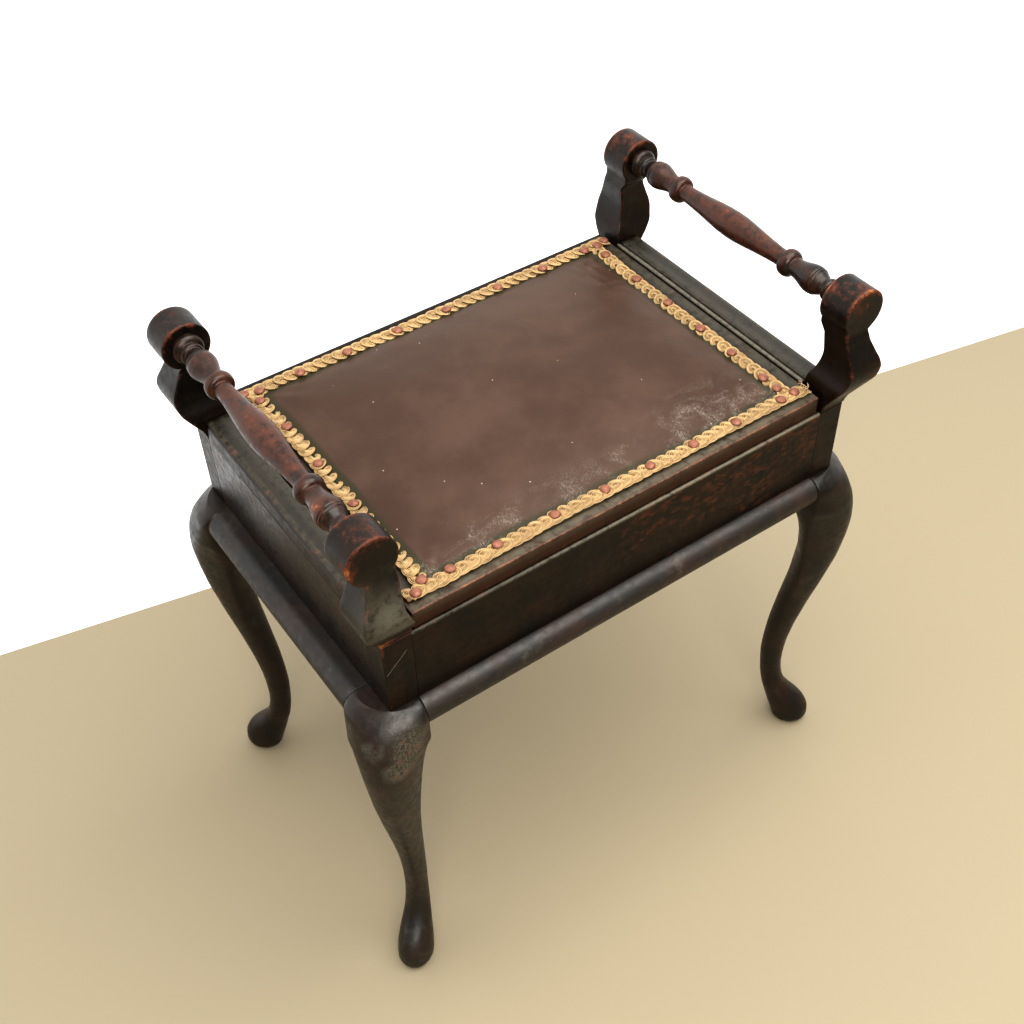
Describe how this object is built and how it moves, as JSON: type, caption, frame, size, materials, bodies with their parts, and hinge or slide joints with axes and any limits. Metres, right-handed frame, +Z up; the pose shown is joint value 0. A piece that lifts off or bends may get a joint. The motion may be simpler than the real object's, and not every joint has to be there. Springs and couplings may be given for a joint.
{
  "type": "piano bench",
  "caption": "Piano bench with a hinged, leather-covered lid over a music box, cabriole legs and turned end handles between shaped uprights.",
  "frame": {"origin": "on the floor under the middle of the bench", "axes": "+Z up, +X to the sitter's right along the long side as seen from the front, +Y to the back, where the lid's hinges are"},
  "size_m": [0.5664, 0.3784, 0.6176],
  "materials": {
    "legs": "satin",
    "rails": "satin",
    "posts": "satin",
    "boards": "satin",
    "caps": "satin",
    "lid_wood": "satin",
    "uprights": "satin",
    "turned_handles": "satin",
    "pine": "matte",
    "steel_screws": "satin",
    "hinge_brass": "satin",
    "stuffing": "matte",
    "leather": "satin",
    "gimp": "matte",
    "nail_heads": "satin"
  },
  "bodies": {
    "frame": {"front_left_leg": "legs", "front_right_leg": "legs", "back_left_leg": "legs", "back_right_leg": "legs", "front_rail": "rails", "back_rail": "rails", "left_rail": "rails", "right_rail": "rails", "front_left_post": "posts", "front_right_post": "posts", "back_left_post": "posts", "back_right_post": "posts", "front_board": "boards", "back_board": "boards", "left_end_board": "boards", "right_end_board": "boards", "bottom_board": "pine", "front_cleat": "pine", "back_cleat": "pine", "left_cleat": "pine", "right_cleat": "pine", "left_end_cap": "caps", "right_end_cap": "caps", "box_screws": "steel_screws", "front_left_upright": "uprights", "front_right_upright": "uprights", "back_left_upright": "uprights", "back_right_upright": "uprights", "upright_dowels": "pine", "left_handle": "turned_handles", "right_handle": "turned_handles", "left_hinge_box_leaf": "hinge_brass", "right_hinge_box_leaf": "hinge_brass", "left_hinge_pin": "hinge_brass", "right_hinge_pin": "hinge_brass", "hinge_box_screws": "hinge_brass"},
    "lid": {"lid_board": "lid_wood", "left_hinge_lid_leaf": "hinge_brass", "right_hinge_lid_leaf": "hinge_brass", "hinge_lid_screws": "hinge_brass", "seat_stuffing": "stuffing", "seat_leather": "leather", "gimp_braid": "gimp", "upholstery_nails": "nail_heads"}
  },
  "joints": [
    {"name": "lid_hinge", "type": "hinge", "parent": "frame", "child": "lid", "pos_m": [0, 0.1696, 0.4905], "axis": [-1, 0, 0], "range_deg": [0, 98]}
  ]
}
